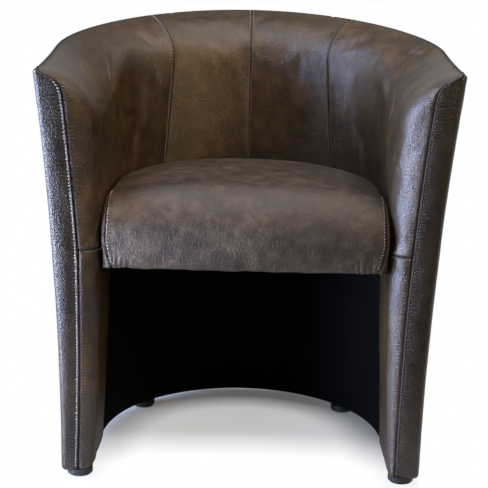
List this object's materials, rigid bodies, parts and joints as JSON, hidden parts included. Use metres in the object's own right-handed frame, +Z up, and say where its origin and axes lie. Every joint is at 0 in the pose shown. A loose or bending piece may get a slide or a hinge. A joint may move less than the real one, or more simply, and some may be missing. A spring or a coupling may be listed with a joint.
{
  "type": "tub chair",
  "caption": "Upholstered tub chair with a flared horseshoe shell, stitched inside panels and a sprung seat carried between its arms.",
  "frame": {"origin": "floor level under the middle of the chair's bounding box", "axes": "+Z up, -Y towards the open front, +X to the right when looking at the front from outside"},
  "size_m": [0.6682, 0.5643, 0.758],
  "materials": {
    "frame_wood": "sawn beech and plywood",
    "hardboard": "pressed board",
    "wadding": "loose white fibre",
    "foam": "open-cell foam",
    "outer_leather": "mottled dark brown suede-look fabric",
    "inner_leather": "mottled dark brown suede-look fabric",
    "seat_leather": "mottled dark brown suede-look fabric, a little paler",
    "black_cloth": "thin black non-woven cloth",
    "felt": "grey needled felt",
    "steel": "bright drawn wire and zinc-plated fasteners",
    "glide_plastic": "black moulded plastic"
  },
  "bodies": {
    "root": {"base_board": "frame_wood", "seat_rib": "frame_wood", "top_rail": "frame_wood", "front_post_left": "frame_wood", "front_post_right": "frame_wood", "lower_stud_left": "frame_wood", "lower_stud_rear_left": "frame_wood", "lower_stud_rear_right": "frame_wood", "lower_stud_right": "frame_wood", "upper_stud_left": "frame_wood", "upper_stud_rear_left": "frame_wood", "upper_stud_rear_right": "frame_wood", "upper_stud_right": "frame_wood", "outer_board_left": "hardboard", "outer_board_back": "hardboard", "outer_board_right": "hardboard", "inner_board_left": "hardboard", "inner_board_back": "hardboard", "inner_board_right": "hardboard", "outer_wadding": "wadding", "arm_foam_left": "foam", "back_foam": "foam", "arm_foam_right": "foam", "leg_foam_left": "foam", "leg_foam_right": "foam", "outer_cover_left": "outer_leather", "outer_cover_back": "outer_leather", "outer_cover_right": "outer_leather", "inner_cover_left": "inner_leather", "inner_cover_back_left": "inner_leather", "inner_cover_back_right": "inner_leather", "inner_cover_right": "inner_leather", "leg_cover_left": "inner_leather", "leg_cover_right": "inner_leather", "leg_lining": "black_cloth", "underside_cloth": "black_cloth", "seat_front_rail": "frame_wood", "seat_rail_left": "frame_wood", "seat_rail_right": "frame_wood", "seat_rear_rail": "frame_wood", "seat_corner_blocks": "frame_wood", "seat_springs": "steel", "spring_clips": "steel", "spring_felt": "felt", "seat_foam": "foam", "seat_cover": "seat_leather", "seat_boxing": "seat_leather", "seat_dust_cloth": "black_cloth", "batten_left": "frame_wood", "batten_right": "frame_wood", "batten_rear": "frame_wood", "seat_bolts": "steel", "bolt_washers": "steel", "glide_front_left": "glide_plastic", "glide_front_right": "glide_plastic", "glide_rear_left": "glide_plastic", "glide_rear_right": "glide_plastic", "glide_nails": "steel"}
  },
  "joints": []
}
